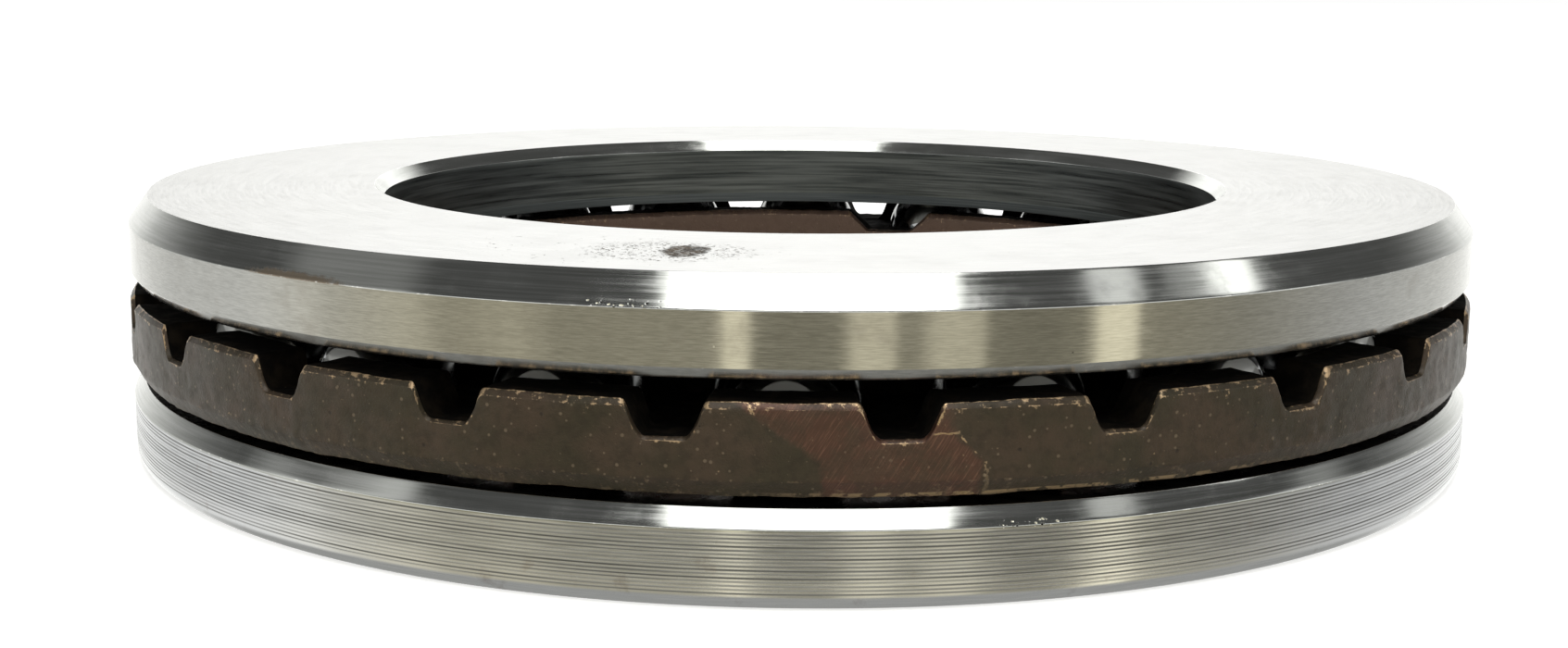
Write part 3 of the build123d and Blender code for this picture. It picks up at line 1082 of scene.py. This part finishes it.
# %% Upright strips round the room: (degrees from the front, brightness)
ROOM = (
    (-180, 1.20), (-150, 1.10), (-138, 0.90), (-124, 0.70), (-100, 0.75), (-84, 0.80),
    (-80, 0.60), (-63, 0.62), (-57, 0.42), (-44, 0.52), (-38, 0.36), (-11.8, 0.38),
    (-11.3, 1.05), (-7.7, 1.05), (-7.2, 0.28), (6.9, 0.28), (7.4, 0.76), (14.1, 0.76), (14.7, 0.34),
    (19.4, 0.36), (20, 0.66), (28.3, 0.66), (28.9, 0.28), (38, 0.24), (46.2, 0.30),
    (46.9, 1.10), (53.5, 1.10), (54.2, 0.36), (74, 0.33), (100, 0.52), (126, 0.74), (150, 1.15),
)
azimuth = calc(sky, "ARCTAN2", east, times(sky, north, -1.0))
turn_share = calc(sky, "MULTIPLY_ADD", azimuth, 1 / (2 * math.pi), 0.5)
strips = node(sky, "ShaderNodeValToRGB")
ramp = strips.color_ramp
while len(ramp.elements) > 1:
    ramp.elements.remove(ramp.elements[0])
ramp.elements[0].position = 0.0
ramp.elements[0].color = (ROOM[0][1],) * 3 + (1,)
for angle, brightness in ROOM[1:]:
    stop = ramp.elements.new(angle / 360 + 0.5)
    stop.color = (brightness,) * 3 + (1,)
feed(sky, strips.inputs[0], turn_share)
print("strips round the room:", len(ramp.elements))
facing_back = fade(sky, north, -0.65, 0.25)
tint = mix(sky, facing_back, (1.0, 0.93, 0.70), (1.0, 1.0, 0.97))
room = mix(sky, 1.0, strips.outputs[0], tint, mode="MULTIPLY")

# %% The dark ceiling, which starts low at the sides, and the soft panel overhead
ceiling_start = fade(sky, north, 0.74, 1.0, 0.0, 0.42)
ceiling = fade(sky, minus(sky, up, ceiling_start), 0.0, 0.40)
glow = times(sky, fade(sky, north, 0.86, 0.97), fade(sky, up, 0.06, 0.2))
room = mix(sky, glow, room, (1.65, 1.65, 1.62))
above = most(sky, up, 0.05)
across = over(sky, east, above)
along = over(sky, north, above)
half_panel = calc(sky, "MULTIPLY_ADD", along, -0.23, 0.2425)
off_middle = apart(sky, across, 0.032)
panel = fade(sky, over(sky, off_middle, half_panel), 1.04, 0.95)
panel = times(sky, panel, fade(sky, along, -0.95, -0.85))
panel = times(sky, panel, fade(sky, along, 0.35, 0.25))
overhead = mix(sky, panel, (0.092, 0.092, 0.09), (3.0, 3.0, 2.9))

# %% Small lamps on the ceiling: (degrees from the front, degrees up, half width, brightness)
LAMPS = ((70.5, 50, 3.4, 1.1), (62.5, 43.3, 3.4, 0.75), (84, 44, 3.5, 0.45), (91, 40.5, 3.6, 2.2),
         (-82, 35, 6.5, 0.7), (-95, 40, 10.0, 0.25))
for turn_to, tilt_up, half_width, brightness in LAMPS:
    side, rise = math.radians(turn_to), math.radians(tilt_up)
    aim = node(sky, "ShaderNodeVectorMath", operation="DOT_PRODUCT")
    feed(sky, aim.inputs[0], direction)
    aim.inputs[1].default_value = (
        math.sin(side) * math.cos(rise), -math.cos(side) * math.cos(rise), math.sin(rise))
    edge = [math.cos(math.radians(half_width * share)) for share in (1.3, 0.7)]
    lit = fade(sky, aim.outputs["Value"], *edge)
    overhead = mix(sky, lit, overhead, (brightness, brightness, brightness * 0.97))
light = mix(sky, ceiling, room, overhead)
sill = times(sky, fade(sky, up, 0.08, 0.18), fade(sky, up, 0.50, 0.40))
sill = times(sky, sill, fade(sky, north, 0.3, 0.0, 0.0, 0.75))
light = mix(sky, sill, light, (1.3, 1.3, 1.27))
light = mix(sky, fade(sky, up, -0.35, -0.6), light, (0.31, 0.31, 0.295))
seen = node(sky, "ShaderNodeLightPath").outputs["Is Camera Ray"]
light = mix(sky, seen, light, (1.0, 1.0, 1.0))
feed(sky, sky.nodes["Background"].inputs["Color"], light)
print("lamps:", len(LAMPS), "nodes in the surroundings:", len(sky.nodes))

# %% [markdown]
# ## The floor
# The bearing lies on a plain white floor. The floor takes the soft shadow under the rim, but
# the steel doesn't mirror it, so that the steel keeps the greys of the room.

# %% The floor
bpy.ops.object.select_all(action="DESELECT")
bpy.ops.mesh.primitive_plane_add(size=6.0)
floor = bpy.context.object
floor.name = "floor"
floor.visible_glossy = False
floor_paint = bpy.data.materials.new("floor_paint")
floor_paint.use_nodes = True
shader = floor_paint.node_tree.nodes["Principled BSDF"]
for socket, value in (("Base Color", (0.95, 0.95, 0.95, 1)), ("Roughness", 0.9),
                      ("Specular IOR Level", 0.0), ("Emission Color", (1, 1, 1, 1)),
                      ("Emission Strength", 0.55)):
    shader.inputs[socket].default_value = value
floor.data.materials.append(floor_paint)
scene.view_settings.view_transform = "Standard"
